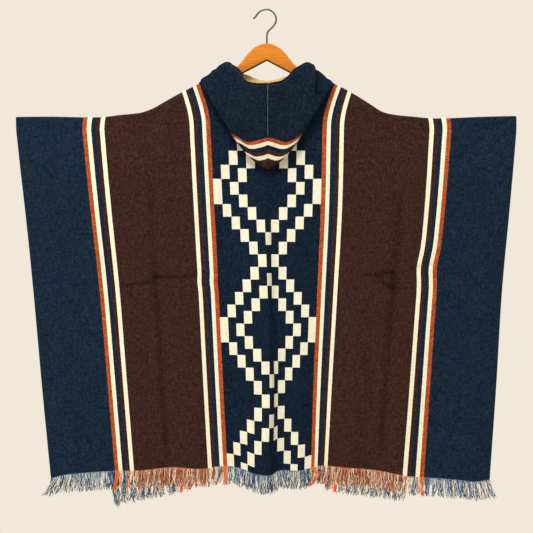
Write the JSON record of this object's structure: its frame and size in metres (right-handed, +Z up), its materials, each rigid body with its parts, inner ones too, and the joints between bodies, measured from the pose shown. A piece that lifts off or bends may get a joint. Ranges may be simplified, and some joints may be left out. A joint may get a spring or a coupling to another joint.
{
  "type": "andean poncho on a wooden hanger",
  "caption": "Hooded wool poncho folded over the shoulders, with fringed hems, hanging from its neck on a wooden hanger.",
  "frame": {"origin": "inner top of the hanger's hook, where the rail touches it", "axes": "+Z up, -Y towards the poncho's back panel and hood, +X to the right of someone who looks at that back"},
  "size_m": [1.278, 0.1594, 1.2715],
  "materials": {
    "striped_wool": "matte heavy wool weave, navy and brown fields with rust and cream stripes",
    "hood_wool": "matte heavy wool weave, navy",
    "facing_tape": "matte golden tan twill tape",
    "fringe_yarn": "twisted wool ends, blue, brown, orange and cream",
    "hanger_wood": "satin varnish over warm beech",
    "hook_steel": "drawn steel wire"
  },
  "bodies": {
    "root": {"back_panel": "striped_wool", "front_panel": "striped_wool", "hood_left": "hood_wool", "hood_right": "hood_wool", "neck_facing": "facing_tape", "back_fringe": "fringe_yarn", "front_fringe": "fringe_yarn", "hanger_wood": "hanger_wood", "hanger_hook": "hook_steel"}
  },
  "joints": []
}
